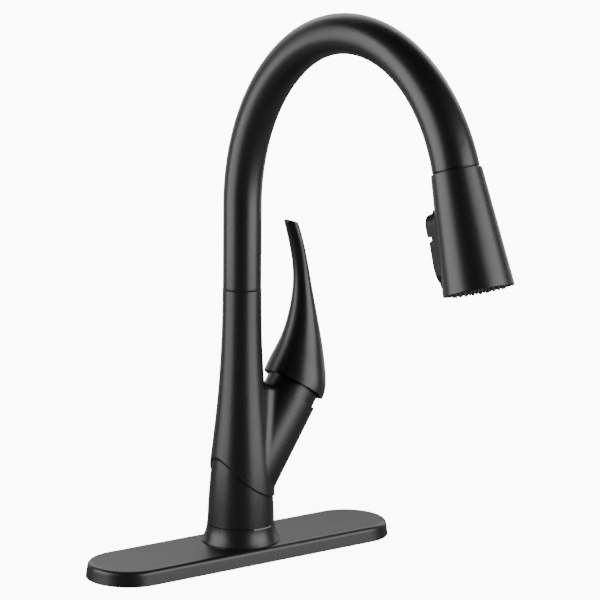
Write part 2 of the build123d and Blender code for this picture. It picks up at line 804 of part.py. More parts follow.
pieces["dock_collar"] = turned(
    outlet, (collar_bore, -collar_length), (collar_radius, -collar_length), (collar_radius, -2.5),
    (outlet_radius - tube_wall - 0.3, -2.5), (outlet_radius - tube_wall - 0.3, dock_lip),
    (magnet_outer + tube_fit, dock_lip), (magnet_outer + tube_fit, -1.0 - magnet_thickness),
    (magnet_inner - tube_fit, -1.0 - magnet_thickness), (magnet_inner - tube_fit, -0.6),
    (collar_bore, -0.6))
pieces["dock_magnet"] = ring(
    outlet, magnet_inner, magnet_outer, -1.0 - magnet_thickness, -1.0)

# ---------------------------------------------------------------- spray hose inside the faucet
with BuildPart() as hose_riser:
    with BuildLine() as route:
        FilletPolyline((hose_x, 0, -hose_depth), (hose_x, 0, hose_turn - hose_lean),
                       (0, 0, hose_turn), (0, 0, spout_foot - face_gap), radius=hose_bend)
    with BuildSketch(Plane((hose_x, 0, -hose_depth))):
        Circle(hose_radius)
    sweep(path=route.line)
pieces["hose_riser"] = hose_riser

hose_end = 13.8             # distance below the wand's top
with BuildPart() as spray_hose:
    with BuildLine() as route:
        bend = Line((0, 0, spout_foot), (0, 0, spout_straight_top))
        angle = 0.0
        for sweep_angle in spout_sweeps:
            middle = spout_point(angle + sweep_angle / 2)
            angle += sweep_angle
            bend = ThreePointArc(bend @ 1, middle, spout_point(angle))
        Line(bend @ 1, wand.origin + wand.z_dir * hose_end)
    with BuildSketch(Plane.XY.offset(spout_foot)):
        Circle(hose_radius)
    sweep(path=route.line)
pieces["spray_hose"] = spray_hose

pieces["hose_coupling"] = turned(
    Plane((hose_x, 0, -hose_depth)), (0, 0), (0, -face_gap), (0, -18.0), (3.0, -18.0),
    (3.0, -20.0), (7.4, -20.0), (7.4, -6.0), (6.8, 0))

pieces["hose_ferrule"] = turned(
    wand, (hose_radius + ferrule_clearance, 2.0), (ferrule_radius, 2.0), (ferrule_radius, ferrule_end),
    (0, ferrule_end), (0, hose_end + 0.3), (hose_radius + ferrule_clearance, hose_end + 0.3))
core_seat_bore = ferrule_radius + 0.5
pieces["hose_stem"] = turned(
    wand, (0, ferrule_end), (stem_neck, ferrule_end), (stem_neck, clip_end), (stem_radius, clip_end),
    (stem_radius, stem_seal - 1), (stem_groove, stem_seal - 1), (stem_groove, stem_seal + 1),
    (stem_radius, stem_seal + 1), (stem_radius, stem_end), (stem_bore, stem_end),
    (stem_bore, ferrule_end + 0.6), (0, ferrule_end + 0.6))
pieces["stem_o_ring"] = o_ring(wand, stem_groove + 0.05, stem_radius + 0.2, stem_seal)

# ---------------------------------------------------------------- spray wand
with BuildPart() as pad_window:
    with BuildSketch(pad_face.offset(pad_floor - pad_clearance)):
        with Locations((pad_middle, 0)):
            SlotOverall(pad_length + 2 * pad_clearance, 2 * (pad_half_width + pad_clearance))
    extrude(amount=wand_bottom_radius)

with BuildPart() as wand_shell:
    with BuildSketch(Plane(origin=wand.origin, x_dir=wand.x_dir, z_dir=-wand.y_dir)):
        with BuildLine():
            Polyline((0, 0), (wand_top_radius, 0), (wand_bottom_radius, wand_length),
                     (0, wand_length), close=True)
        make_face()
    revolve(axis=Axis(wand.origin, wand.z_dir))
    fillet(wand_shell.edges().filter_by(GeomType.CIRCLE), wand_edge)
    with BuildSketch(Plane(origin=wand.origin, x_dir=wand.x_dir, z_dir=-wand.y_dir)):
        with BuildLine():
            Polyline((0, wand_cap), (wand_radius(wand_cap) - wand_wall, wand_cap),
                     (wand_bottom_radius - wand_wall, wand_length), (0, wand_length), close=True)
        make_face()
    revolve(axis=Axis(wand.origin, wand.z_dir), mode=Mode.SUBTRACT)
    with BuildSketch(wand):
        Circle(core_seat_bore + 0.2)
    extrude(amount=wand_cap, mode=Mode.SUBTRACT)
    add(pad_window.part, mode=Mode.SUBTRACT)
pieces["wand_shell"] = wand_shell

pieces["wand_magnet"] = ring(wand, magnet_inner, magnet_outer, wand_cap + face_gap, core_start - face_gap)

core_outline = ((core_seat_bore, core_start), (core_radius + 1.0, core_start),
                (core_radius + 1.0, 19.0), (core_radius, 19.0), (core_radius, face_start),
                (core_chamber, face_start), (core_chamber, core_throat), (stem_radius + 0.3, core_throat),
                (stem_radius + 0.3, clip_end), (clip_radius, clip_end), (clip_radius, clip_start),
                (core_seat_bore, clip_start))
with BuildPart() as wand_core:
    add(turned(wand, *core_outline).part)
    with BuildSketch(pad_face):
        with Locations((plunger_height, 0)):
            Circle(plunger_hole)
    extrude(amount=wand_bottom_radius, mode=Mode.SUBTRACT)
pieces["wand_core"] = wand_core
pieces["swivel_clip"] = ring(wand, stem_neck + 0.15, clip_radius - 0.1, clip_start + 0.2, clip_end - 0.2)
pieces["check_valve"] = turned(
    wand, (2.5, 42.0), (core_chamber - 0.1, 42.0), (core_chamber - 0.1, 52.0), (6.0, 54.0),
    (2.5, 54.0))
pieces["filter_screen"] = ring(wand, 0, core_chamber - 0.1, 40.6, 41.8)

with BuildPart() as button_bezel:
    with BuildSketch(pad_face.offset(pad_floor)):
        with Locations((pad_middle, 0)):
            SlotOverall(pad_length, 2 * pad_half_width)
    extrude(amount=wand_bottom_radius)
    with BuildSketch(Plane(origin=wand.origin, x_dir=wand.x_dir, z_dir=-wand.y_dir)):
        with BuildLine():
            Polyline((0, 0), (wand_top_radius + pad_proud, 0),
                     (wand_bottom_radius + pad_proud * 0.5, wand_length), (0, wand_length),
                     close=True)
        make_face()
    revolve(axis=Axis(wand.origin, wand.z_dir), mode=Mode.INTERSECT)
    with BuildSketch(pad_face.offset(pad_floor + pad_floor_thickness)):
        with Locations((pad_middle, 0)):
            SlotOverall(pad_length - 2 * pad_frame, 2 * (pad_half_width - pad_frame))
    extrude(amount=wand_bottom_radius, mode=Mode.SUBTRACT)
    with BuildSketch(pad_face):
        with Locations((plunger_height, 0)):
            Circle(plunger_hole)
    extrude(amount=pad_floor + 5, mode=Mode.SUBTRACT)
    with BuildSketch(pad_side):
        with Locations((rocker_pivot_depth, rocker_pivot)):
            Circle(rocker_pin_radius)
    extrude(amount=pad_half_width + 1, both=True, mode=Mode.SUBTRACT)
pieces["button_bezel"] = button_bezel

rocker_half = pad_half_width - pad_frame - 0.25
rocker_top = pad_top + pad_frame + 0.9
rocker_bottom = pad_bottom - pad_frame - 1.2
with BuildPart() as mode_rocker:
    with BuildSketch(pad_side):
        with BuildLine():
            button = wand_radius(34.0) + button_proud
            shoulder = FilletPolyline(
                (rocker_base, rocker_top), (wand_radius(rocker_top) + 2.2, rocker_top),
                (button - 0.5, rocker_top + 1.6), (button + 0.15, rocker_top + 9.0),
                (button, notch_top), (button - notch_depth, notch_top),
                (button - notch_depth, notch_foot), (button - 0.5, notch_foot + 1.4),
                (wand_radius(60.0) + 3.1, 60.0),
                (wand_radius(rocker_bottom) + 0.5, rocker_bottom),
                radius=0.5)
            Polyline(shoulder @ 1, (rocker_base, rocker_bottom), (rocker_base, rocker_top))
        make_face()
    extrude(amount=pad_half_width, both=True)
    with BuildSketch(pad_face.offset(rocker_base)):
        with Locations(((rocker_top + rocker_bottom) / 2, 0)):
            SlotOverall(rocker_bottom - rocker_top, 2 * rocker_half)
    extrude(amount=wand_bottom_radius, mode=Mode.INTERSECT)
    with BuildSketch(pad_side):
        with Locations((rocker_pivot_depth, rocker_pivot)):
            Circle(rocker_pin_radius + pin_clearance)
    extrude(amount=pad_half_width, both=True, mode=Mode.SUBTRACT)
pieces["mode_rocker"] = mode_rocker

with BuildPart() as rocker_pin:
    with BuildSketch(pad_side):
        with Locations((rocker_pivot_depth, rocker_pivot)):
            Circle(rocker_pin_radius)
    extrude(amount=pad_half_width - 0.2, both=True)
pieces["rocker_pin"] = rocker_pin

plunger_gap = 0.15
with BuildPart() as diverter_plunger:
    with BuildSketch(pad_face.offset(plunger_root)):
        with Locations((plunger_height, 0)):
            Circle(plunger_radius)
    extrude(amount=rocker_base - plunger_gap - plunger_root)
pieces["diverter_plunger"] = diverter_plunger

# ---------------------------------------------------------------- spray face
face_inner = wand_radius(face_start) - wand_wall
plate_radius = face_inner - 1.5
pieces["water_spreader"] = ring(wand, 6.0, plate_radius, face_start, face_start + 1.5)
mat_foot = face_start + 1.5
plate_foot = mat_foot + 1.3
plate_top = wand_length - 1.0

with BuildPart() as nozzle_mat:
    with BuildSketch(wand.offset(mat_foot)):
        Circle(plate_radius)
        Circle(aerator_radius + aerator_clearance, mode=Mode.SUBTRACT)
    extrude(amount=plate_foot - mat_foot)
    for circle_radius, count in nozzle_rings:
        with BuildSketch(wand.offset(plate_foot)):
            with PolarLocations(circle_radius, count):
                Circle(nozzle_radius)
        extrude(amount=wand_length + nozzle_proud - plate_foot)
pieces["nozzle_mat"] = nozzle_mat

with BuildPart() as spray_plate:
    with BuildSketch(wand.offset(plate_foot)):
        Circle(plate_radius)
        Circle(aerator_radius + aerator_clearance, mode=Mode.SUBTRACT)
        for circle_radius, count in nozzle_rings:
            with PolarLocations(circle_radius, count):
                Circle(nozzle_radius + 0.15, mode=Mode.SUBTRACT)
    extrude(amount=plate_top - plate_foot)
pieces["spray_plate"] = spray_plate
pieces["face_ring"] = ring(wand, plate_radius + 0.1, face_inner - 0.1, face_start, plate_top)

with BuildPart() as aerator:
    with BuildSketch(wand.offset(mat_foot)):
        Circle(aerator_radius)
        with HexLocations(aerator_pitch, 5, 5):
            Circle(aerator_hole, mode=Mode.SUBTRACT)
    extrude(amount=plate_top + 0.4 - mat_foot)
pieces["aerator"] = aerator

# ---------------------------------------------------------------- write every piece
os.makedirs("parts", exist_ok=True)
for name, piece in pieces.items():
    piece.part.label = name
    export_step(piece.part, f"parts/{name}.step")
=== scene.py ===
import json
import math

import bmesh
import bpy
from mathutils import Matrix, Vector


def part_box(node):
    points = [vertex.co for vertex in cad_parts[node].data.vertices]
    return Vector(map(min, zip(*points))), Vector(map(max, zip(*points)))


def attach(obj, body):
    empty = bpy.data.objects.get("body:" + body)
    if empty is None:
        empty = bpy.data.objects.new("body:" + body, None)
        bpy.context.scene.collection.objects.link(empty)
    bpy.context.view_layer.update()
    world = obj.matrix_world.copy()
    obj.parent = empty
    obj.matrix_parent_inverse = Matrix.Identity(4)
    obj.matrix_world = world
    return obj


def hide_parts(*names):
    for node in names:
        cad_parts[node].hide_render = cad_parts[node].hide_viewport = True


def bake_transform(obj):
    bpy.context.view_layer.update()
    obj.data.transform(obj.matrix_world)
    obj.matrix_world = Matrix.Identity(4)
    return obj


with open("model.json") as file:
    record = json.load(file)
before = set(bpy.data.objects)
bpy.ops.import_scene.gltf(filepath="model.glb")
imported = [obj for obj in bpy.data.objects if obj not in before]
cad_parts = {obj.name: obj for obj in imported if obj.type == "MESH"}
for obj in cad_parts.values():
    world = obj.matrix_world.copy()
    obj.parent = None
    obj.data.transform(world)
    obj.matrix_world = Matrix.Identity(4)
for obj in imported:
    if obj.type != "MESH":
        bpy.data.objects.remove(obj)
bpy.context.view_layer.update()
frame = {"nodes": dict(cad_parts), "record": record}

MM = 0.001
VERTICAL = Vector((0, 0, 1))

# ---------------------------------------------------------------- places taken from the frame
joints = {joint["name"]: joint for joint in frame["record"]["behaviour"]["joints"]}
flow = Vector(joints["wand_pull"]["axis"]).normalized()      # the way water leaves the wand
wand_top = Vector(joints["wand_turn"]["pos_m"])              # centre of the wand's upper end
arm_way = Vector(joints["temperature_turn"]["axis"]).normalized()
spout_foot = joints["spout_swivel"]["pos_m"][2] / MM         # height of the spout's lower end


def centre(node):
    """The middle of a CAD node's box."""
    low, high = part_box(node)
    return (Vector(low) + Vector(high)) / 2


def along(axis, start):
    """Places a piece that was made about +Z so that it runs along axis from start."""
    turn = VERTICAL.rotation_difference(axis).to_matrix().to_4x4()
    return Matrix.Translation(start) @ turn


def turned_size(node, axis=VERTICAL, start=(0, 0, 0)):
    """A CAD node's size about an axis in millimetres: lower end, upper end, inner and outer radius."""
    heights, radii = [], []
    for corner in frame["nodes"][node].data.vertices:
        offset = corner.co - Vector(start)
        height = offset.dot(axis)
        heights.append(height / MM)
        radii.append((offset - axis * height).length / MM)
    return min(heights), max(heights), min(radii), max(radii)


# ---------------------------------------------------------------- camera
CAMERA_AZIMUTH = math.radians(-35.907)
CAMERA_DISTANCE = 2.2
CAMERA_HEIGHT = 0.6342
AIM_AZIMUTH = math.radians(-37.017)
AIM_PITCH = math.radians(11.335)
CAMERA_ROLL = math.radians(0.534)
SENSOR_WIDTH = 36.0
FOCAL_LENGTH = SENSOR_WIDTH * 5.0933


def add_camera():
    """The camera stands in front of the faucet, to its left, and looks slightly down."""
    ahead = Vector((-math.sin(AIM_AZIMUTH) * math.cos(AIM_PITCH),
                    math.cos(AIM_AZIMUTH) * math.cos(AIM_PITCH), -math.sin(AIM_PITCH)))
    right = ahead.cross(VERTICAL).normalized()
    up = right.cross(ahead)
    side = right * math.cos(CAMERA_ROLL) + up * math.sin(CAMERA_ROLL)
    top = up * math.cos(CAMERA_ROLL) - right * math.sin(CAMERA_ROLL)
    place = Matrix((side, top, -ahead)).transposed().to_4x4()
    place.translation = (math.sin(CAMERA_AZIMUTH) * CAMERA_DISTANCE,
                         -math.cos(CAMERA_AZIMUTH) * CAMERA_DISTANCE, CAMERA_HEIGHT)
    lens = bpy.data.cameras.new("camera")
    lens.sensor_width = SENSOR_WIDTH
    lens.lens = FOCAL_LENGTH
    lens.clip_start = 0.05
    lens.clip_end = 60.0
    camera = bpy.data.objects.new("camera", lens)
    camera.matrix_world = place
    bpy.context.scene.collection.objects.link(camera)
    bpy.context.scene.camera = camera


add_camera()


# ---------------------------------------------------------------- shader helpers
class Signal:
    """What a node gives out; arithmetic on it adds Math nodes."""

    def __init__(self, wiring, socket):
        self.wiring = wiring
        self.socket = socket

    def _math(self, operation, first, second):
        return self.wiring.node("ShaderNodeMath", {"operation": operation}, {0: first, 1: second})

    def __add__(self, other):
        return self._math("ADD", self, other)

    def __radd__(self, other):
        return self._math("ADD", other, self)

    def __sub__(self, other):
        return self._math("SUBTRACT", self, other)

    def __rsub__(self, other):
        return self._math("SUBTRACT", other, self)

    def __mul__(self, other):
        return self._math("MULTIPLY", self, other)

    def __rmul__(self, other):
        return self._math("MULTIPLY", other, self)

    def sine(self):
        return self._math("SINE", self, 0.0)


class Wiring:
    """A node tree and the calls that add nodes to it."""

    def __init__(self, tree):
        self.tree = tree

    def node(self, kind, settings=None, sockets=None, out=0):
        """Adds a node: settings first, then the values or links of its sockets."""
        made = self.tree.nodes.new(kind)
        for key, value in (settings or {}).items():
            setattr(made, key, value)
        for key, value in (sockets or {}).items():
            if isinstance(value, Signal):
                self.tree.links.new(value.socket, made.inputs[key])
            else:
                made.inputs[key].default_value = value
        return Signal(self, made.outputs[out])

    def split_view(self, mirrored, seen, share, output):
        """Shows the shader seen to the camera by a share, and the shader mirrored to all other rays."""
        ray = self.node("ShaderNodeLightPath", out="Is Camera Ray")
        mix = self.node("ShaderNodeMixShader", None, {0: ray * share, 1: mirrored, 2: seen})
        self.tree.links.new(mix.socket, self.tree.nodes[output].inputs["Surface"])


class Finish(Wiring):
    """One material, with its principled shader and short calls that wire nodes to it."""

    def __init__(self, name, roughness=0.5, metallic=0.0):
        self.material = bpy.data.materials.new(name)
        self.material.use_nodes = True
        super().__init__(self.material.node_tree)
        self.shader = self.tree.nodes["Principled BSDF"]
        self.shader.inputs["Roughness"].default_value = roughness
        self.shader.inputs["Metallic"].default_value = metallic
        self.place = None

    def set(self, **values):
        """Constants on the shader's own sockets, underscores standing for spaces."""
        for key, value in values.items():
            self.shader.inputs[key.replace("_", " ")].default_value = value

    def feed(self, key, signal):
        """Wires a signal to one of the shader's sockets."""
        self.tree.links.new(signal.socket, self.shader.inputs[key])

    def position(self, axis=None, start=(0, 0, 0)):
        """Object coordinates, or the same turned so that Z runs along axis from start."""
        if self.place is None:
            self.place = self.node("ShaderNodeTexCoord", out="Object")
        if axis is None:
            return self.place
        turn = along(Vector(axis), Vector(start)).inverted()
        return self.node("ShaderNodeMapping", {"vector_type": "POINT"},
                         {"Vector": self.place, "Location": turn.translation,
                          "Rotation": turn.to_euler("XYZ")})

    def noise(self, scale, detail=2.0, rough=0.5, vector=None):
        """Soft random values from 0 to 1; scale is in waves per metre."""
        return self.node("ShaderNodeTexNoise", {"noise_dimensions": "3D"},
                         {"Vector": vector or self.position(), "Scale": scale,
                          "Detail": detail, "Roughness": rough})

    def stretched(self, scale_x, scale_y, scale_z, vector=None):
        """Coordinates stretched along the axes, for brushed or drawn metal."""
        return self.node("ShaderNodeMapping", {"vector_type": "POINT"},
                         {"Vector": vector or self.position(),
                          "Scale": (scale_x, scale_y, scale_z)})

    def between(self, signal, low, high):
        """Maps 0..1 to low..high."""
        return signal * (high - low) + low

    def blend(self, factor, first, second):
        """A colour that goes from first to second as factor goes from 0 to 1."""
        return self.node("ShaderNodeMix", {"data_type": "RGBA"},
                         {0: factor, 6: first, 7: second}, out=2)

    def relief(self, height, depth, strength=1.0):
        """Feeds the Normal with a bump; depth is the real height of the relief in metres."""
        bump = self.node("ShaderNodeBump", None,
                         {"Height": height, "Distance": depth, "Strength": strength})
        self.feed("Normal", bump)


def grey(value):
    """A grey that is a touch warm."""
    return (value, value, value * 0.985, 1.0)


def shade(tone, share=1.0):
    """A colour from its three channels, darkened to a share of itself."""
    return tuple(channel * share for channel in tone) + (1.0,)


# ---------------------------------------------------------------- studio
OBJECT_MIDDLE = Vector((0.0, -0.1, 0.2))
WHITE = (1, 1, 1, 1)
WHITE_LEVEL = 11.0              # strength of the white that the camera sees
GLOW_LEVEL = 0.02               # strength of the glow that the faucet mirrors
FLOOR_WHITENESS = 0.95
FLOOR_RADIUS = 0.75
FLOOR_DROP = 0.0003             # the floor lies this far under the deck plate


def softbox(name, turn, lift, distance, width, height, power):
    """A rectangular light at an angle to the camera's own side, turned to the faucet."""
    azimuth = CAMERA_AZIMUTH + math.radians(turn)
    way = Vector((math.sin(azimuth) * math.cos(math.radians(lift)),
                  -math.cos(azimuth) * math.cos(math.radians(lift)), math.sin(math.radians(lift))))
    panel = bpy.data.lights.new(name, "AREA")
    panel.shape = "RECTANGLE"
    panel.size = width
    panel.size_y = height
    panel.energy = power
    light = bpy.data.objects.new(name, panel)
    light.matrix_world = (Matrix.Translation(OBJECT_MIDDLE + way * distance)
                          @ way.to_track_quat("Z", "Y").to_matrix().to_4x4())
    bpy.context.scene.collection.objects.link(light)


# name, turn and lift in degrees, then distance, width and height in metres, and power in watts
softbox("left_softbox", -80, 4, 1.6, 1.6, 1.9, 45)
softbox("right_softbox", 64, 4, 1.6, 1.7, 1.9, 53)
softbox("back_softbox", 172, 30, 2.1, 2.4, 1.2, 19)
softbox("rear_left_fill", -150, 8, 1.9, 1.0, 1.6, 6)
softbox("rear_right_fill", 142, 8, 1.9, 1.0, 1.6, 6)


def add_backdrop():
    """White all round for the eye, with a dim even glow for what the faucet mirrors."""
    world = bpy.data.worlds.new("studio")
    world.use_nodes = True
    bpy.context.scene.world = world
    studio = Wiring(world.node_tree)
    seen = studio.node("ShaderNodeBackground", None, {"Color": WHITE, "Strength": WHITE_LEVEL})
    mirrored = studio.node("ShaderNodeBackground", None, {"Color": WHITE, "Strength": GLOW_LEVEL})
    studio.split_view(mirrored, seen, 1.0, "World Output")


add_backdrop()


# ---------------------------------------------------------------- finishes
def matte_coating():
    """Matte black coating: a fine even grain, slightly uneven gloss, faint handling haze."""
    finish = Finish("matte_black_coating")
    grain = finish.noise(5200.0, 3.0, 0.6)
    cloud = finish.noise(38.0, 3.0, 0.55)
    speck = finish.noise(1500.0, 2.0, 0.5)
    finish.feed("Base Color", finish.blend(cloud * 0.6 + speck * 0.4, grey(0.005), grey(0.0095)))
    finish.feed("Roughness", finish.between(cloud * 0.5 + grain * 0.5, 0.31, 0.4))
    finish.relief(grain * 0.7 + speck * 0.3, 0.000010, 0.55)
    finish.set(IOR=1.5)
    return finish


def moulded(name, tone, rough):
    """Moulded plastic with a spark-eroded texture and a little flow marbling."""
    finish = Finish(name)
    pits = finish.noise(2400.0, 2.0, 0.5)
    drift = finish.noise(90.0, 3.0, 0.5)
    finish.feed("Base Color", finish.blend(drift, shade(tone, 0.82), shade(tone)))
    finish.feed("Roughness", finish.between(pits, rough - 0.07, rough + 0.07))
    finish.relief(pits, 0.000014, 0.6)
    finish.set(IOR=1.4)
    return finish


def silicone():
    """Soft black rubber with a dry bloom."""
    finish = Finish("black_silicone")
    bloom = finish.noise(260.0, 4.0, 0.6)
    pits = finish.noise(3200.0, 2.0, 0.5)
    finish.feed("Base Color", finish.blend(bloom, grey(0.012), grey(0.03)))
    finish.feed("Roughness", finish.between(bloom, 0.55, 0.75))
    finish.relief(pits, 0.00002, 0.5)
    return finish


def machined(name, tone, axis, rough=0.3):
    """Turned metal: fine tool rings that run round the piece's axis, with dull patches."""
    finish = Finish(name, metallic=1.0)
    place = finish.position(axis)
    rings = finish.noise(1.0, 2.0, 0.6, finish.stretched(60.0, 60.0, 5200.0, place))
    patch = finish.noise(120.0, 3.0, 0.55)
    finish.feed("Base Color", finish.blend(patch, shade(tone, 0.72), shade(tone)))
    finish.feed("Roughness", finish.between(rings * 0.6 + patch * 0.4, rough - 0.08, rough + 0.14))
    finish.relief(rings, 0.000012, 0.6)
    return finish


def drawn_copper():
    """Drawn copper tube with lengthways lines and warm tarnish."""
    finish = Finish("drawn_copper", metallic=1.0)
    lines = finish.noise(1.0, 2.0, 0.6, finish.stretched(2600.0, 2600.0, 40.0))
    tarnish = finish.noise(85.0, 4.0, 0.6)
    finish.feed("Base Color", finish.blend(tarnish, (0.42, 0.17, 0.09, 1), (0.72, 0.36, 0.22, 1)))
    finish.feed("Roughness", finish.between(tarnish * 0.7 + lines * 0.3, 0.22, 0.46))
    finish.relief(lines, 0.00001, 0.5)
    return finish


def lapped_ceramic():
    """Dense white alumina, lapped almost mirror flat."""
    finish = Finish("lapped_ceramic")
    grain = finish.noise(1900.0, 4.0, 0.6)
    finish.feed("Base Color", finish.blend(grain, (0.78, 0.76, 0.7, 1), (0.86, 0.85, 0.81, 1)))
    finish.feed("Roughness", finish.between(grain, 0.12, 0.24))
    finish.relief(grain, 0.000004, 0.4)
    return finish


def plated_magnet():
    """Nickel-plated magnet with a faint orange peel."""
    finish = Finish("plated_magnet", metallic=1.0)
    peel = finish.noise(900.0, 3.0, 0.5)
    finish.feed("Base Color", finish.blend(peel, (0.52, 0.5, 0.46, 1), (0.66, 0.64, 0.6, 1)))
    finish.feed("Roughness", finish.between(peel, 0.16, 0.3))
    finish.relief(peel, 0.00001, 0.4)
    return finish


def frosted_lens():
    """Frosted light window: a frosted tone, with a slight glow from behind painted into its pale colour."""
    finish = Finish("frosted_lens")
    frost = finish.noise(2600.0, 2.0, 0.5)
    # Painted glow: the base colour is made paler to stand in for light from behind the lens.
    finish.feed("Base Color", finish.blend(frost, grey(0.2), grey(0.28)))
    finish.feed("Roughness", finish.between(frost, 0.4, 0.55))
    finish.relief(frost, 0.00001, 0.5)
    return finish


def solder_mask():
    """Green circuit board with copper traces under the mask."""
    finish = Finish("circuit_board")
    place = finish.stretched(900.0, 900.0, 60.0)
    traces = finish.noise(1.0, 0.0, 0.0, place)
    track = finish.node("ShaderNodeMath", {"operation": "GREATER_THAN"}, {0: traces, 1: 0.56})
    finish.feed("Base Color", finish.blend(track, (0.012, 0.075, 0.03, 1), (0.05, 0.17, 0.06, 1)))
    finish.feed("Roughness", finish.between(traces, 0.25, 0.4))
    finish.relief(track, 0.00003, 0.6)
    return finish


BRAID_STRANDS = 12.0            # strands round the hose in each family
BRAID_PITCH = 2600.0            # radians of the weave along a metre of hose


def woven_braid(name, axis, start):
    """Nylon braid: two families of strands that cross round the hose, with painted shade in the grooves
    between them.
    """
    finish = Finish(name)
    place = finish.position(axis, start)
    x = finish.node("ShaderNodeSeparateXYZ", None, {0: place}, out=0)
    y = finish.node("ShaderNodeSeparateXYZ", None, {0: place}, out=1)
    z = finish.node("ShaderNodeSeparateXYZ", None, {0: place}, out=2)
    angle = finish.node("ShaderNodeMath", {"operation": "ARCTAN2"}, {0: y, 1: x})
    left = (angle * BRAID_STRANDS + z * BRAID_PITCH).sine()
    right = (angle * BRAID_STRANDS - z * BRAID_PITCH).sine()
    over = finish.node("ShaderNodeMath", {"operation": "MAXIMUM"}, {0: left, 1: right})
    lift = finish.between(over, 0.5, 1.0)
    fibre = finish.noise(5200.0, 3.0, 0.6)
    # Base colour: painted shade darkens the grooves between the strands, and the fibre noise adds the
    # strands' own random tone.
    groove_shade_and_fibre = lift * 0.8 + fibre * 0.2
    finish.feed("Base Color", finish.blend(groove_shade_and_fibre, (0.006, 0.006, 0.007, 1), (0.075, 0.075, 0.08, 1)))
    finish.feed("Roughness", finish.between(fibre, 0.45, 0.62))
    finish.relief(lift * 0.85 + fibre * 0.15, 0.00035, 0.9)
    return finish


BRASS = (0.68, 0.5, 0.24)
STEEL = (0.52, 0.52, 0.52)

black_coat = matte_coating()
black_plastic = moulded("black_moulding", (0.009, 0.009, 0.0088), 0.44)
acetal = moulded("white_acetal", (0.74, 0.72, 0.66), 0.46)
aerator_plastic = moulded("grey_moulding", (0.09, 0.092, 0.095), 0.44)
rubber = silicone()
brass_upright = machined("turned_brass", BRASS, VERTICAL)
brass_arm = machined("turned_brass_arm", BRASS, arm_way)
brass_wand = machined("turned_brass_wand", BRASS, flow)
steel_upright = machined("turned_steel", STEEL, VERTICAL, 0.32)
steel_arm = machined("turned_steel_arm", STEEL, arm_way, 0.32)
steel_wand = machined("turned_steel_wand", STEEL, flow, 0.32)
copper = drawn_copper()
ceramic = lapped_ceramic()
magnet = plated_magnet()
lens_finish = frosted_lens()
board = solder_mask()
riser_braid = woven_braid("hose_braid", VERTICAL, centre("hose_coupling"))
outlet_braid = woven_braid("hose_braid_outlet", flow, wand_top)

slot_finishes = {
    "matte_black": black_coat,
    "black_plastic": black_plastic,
    "white_plastic": acetal,
    "rubber": rubber,
    "brass": brass_upright,
    "copper": copper,
    "steel": steel_upright,
    "magnet_nickel": magnet,
    "ceramic": ceramic,
    "hose_braid": riser_braid,
    "light_lens": lens_finish,
    "circuit_board": board,
    "aerator_grey": aerator_plastic,
}
node_finishes = {
    "waterway_block": brass_arm,
    "cartridge_nut": brass_arm,
    "hose_stem": brass_wand,
    "stem_pin": steel_arm,
    "valve_stem": steel_arm,
    "hose_ferrule": steel_wand,
    "rocker_pin": steel_wand,
    "filter_screen": steel_wand,
    "spray_hose": outlet_braid,
}
for entry in frame["record"]["subparts"]:
    node = entry["node"]
    finish = node_finishes.get(node) or slot_finishes[entry["material_slot"]]
    for slot in frame["nodes"][node].material_slots:
        slot.material = finish.material


# ---------------------------------------------------------------- piece helpers
def finished(name, mesh_data, finish, body, smooth=True, crease=40.0):
    """Turns a bmesh into an object at the origin, with its finish, riding on a body."""
    bmesh.ops.remove_doubles(mesh_data, verts=mesh_data.verts[:], dist=1e-6)
    bmesh.ops.recalc_face_normals(mesh_data, faces=mesh_data.faces[:])
    mesh = bpy.data.meshes.new(name)
    mesh_data.to_mesh(mesh)
    mesh_data.free()
    mesh.materials.append(finish.material)
    piece = bpy.data.objects.new(name, mesh)
    bpy.context.scene.collection.objects.link(piece)
    if smooth:
        mesh.shade_smooth()
        mesh.set_sharp_from_angle(angle=math.radians(crease))
    if body:
        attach(piece, body)
    return piece


def spun(outline, steps):
    """A bmesh turned about +Z from (radius, height) corners in millimetres."""
    made = bmesh.new()
    corners = [made.verts.new((radius * MM, 0, height * MM)) for radius, height in outline]
    edges = [made.edges.new(pair) for pair in zip(corners, corners[1:])]
    bmesh.ops.spin(made, geom=corners + edges, cent=(0, 0, 0), axis=(0, 0, 1),
                   angle=math.tau, steps=steps, use_merge=True)
    bmesh.ops.remove_doubles(made, verts=made.verts[:], dist=1e-6)
    return made


def sector_positions(radius, count):
    """Points evenly spaced on a circle, in millimetres."""
    for number in range(count):
        angle = math.tau * number / count
        yield radius * math.cos(angle), radius * math.sin(angle)


def helix_thread(radius, depth, pitch, low, high, steps=40):
    """A V thread over a core, about +Z between two heights, that runs out at both ends; millimetres."""
    made = bmesh.new()
    count = int(round(((high - low) / pitch - 1.0) * steps, 3))
    core = radius - depth
    root = core - 0.1
    previous = None
    for number in range(count + 1):
        turn = Matrix.Rotation(math.tau * number / steps, 4, "Z")
        height = low + pitch * number / steps
        fade = min(1.0, number / (steps * 0.5), (count - number) / (steps * 0.5))
        crest = core + 0.04 + (depth - 0.05) * fade
        corners = ((root, 0.0), (crest, pitch * 0.44), (crest, pitch * 0.56), (root, pitch))
        profile = [made.verts.new(turn @ Vector((reach * MM, 0, (height + lift) * MM)))
                   for reach, lift in corners]
        if previous:
            for left in range(3):
                made.faces.new((previous[left], profile[left], profile[left + 1], previous[left + 1]))
        previous = profile
    return made


def block(length, width, height):
    """A box about its own middle; millimetres."""
    made = bmesh.new()
    bmesh.ops.create_cube(made, size=MM)
    bmesh.ops.scale(made, verts=made.verts[:], vec=(length, width, height))
    return made


